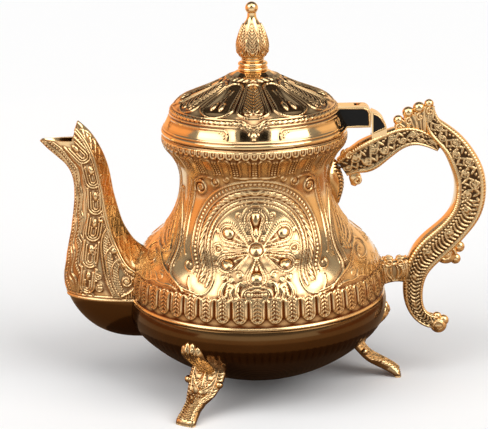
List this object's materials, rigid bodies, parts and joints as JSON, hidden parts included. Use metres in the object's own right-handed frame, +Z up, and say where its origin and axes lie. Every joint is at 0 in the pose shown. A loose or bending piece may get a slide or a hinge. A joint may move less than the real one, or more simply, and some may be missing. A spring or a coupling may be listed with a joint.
{
  "type": "dallah coffee pot",
  "caption": "Footed metal coffee pot with a vase-shaped body, a hinged domed lid with a bud finial, a gooseneck spout with a gabled back and a cast scroll handle.",
  "frame": {"origin": "on the floor, under the pot's axis, at the middle of the three feet", "axes": "+X from the pot's axis to the handle, -X to the spout, +Y to the back of the picture, +Z up"},
  "size_m": [0.2434, 0.1448, 0.2134],
  "materials": {
    "embossed_gold": "polished gold plate with pressed ornament",
    "polished_gold": "mirror-polished gold plate",
    "cast_gold": "gold plate on a casting with relief",
    "plain_brass": "plain satin brass sheet",
    "steel": "plain steel fasteners"
  },
  "bodies": {
    "pot": {"upper_shell": "embossed_gold", "lower_bowl": "polished_gold", "spout_trough": "embossed_gold", "spout_gable": "embossed_gold", "spout_keel": "polished_gold", "spout_strainer": "plain_brass", "handle": "cast_gold", "handle_upper_root": "cast_gold", "handle_lower_root": "cast_gold", "handle_upper_screw": "steel", "handle_lower_screw": "steel", "handle_washers": "plain_brass", "hinge_post": "polished_gold", "foot_front": "cast_gold", "foot_back": "cast_gold", "foot_handle_side": "cast_gold", "foot_screws": "steel", "foot_washers": "plain_brass"},
    "lid": {"lid_dome": "embossed_gold", "lid_skirt": "plain_brass", "lid_hinge_arm": "polished_gold", "lid_arm_rivets": "steel", "hinge_pin": "steel", "finial": "embossed_gold", "finial_collar": "polished_gold", "finial_stud": "steel", "finial_washer": "plain_brass", "finial_nut": "steel"}
  },
  "joints": [
    {"name": "lid_hinge", "type": "hinge", "parent": "pot", "child": "lid", "pos_m": [0.0589, 0, 0.1522], "axis": [0, 1, 0], "range_deg": [0, 100]}
  ]
}
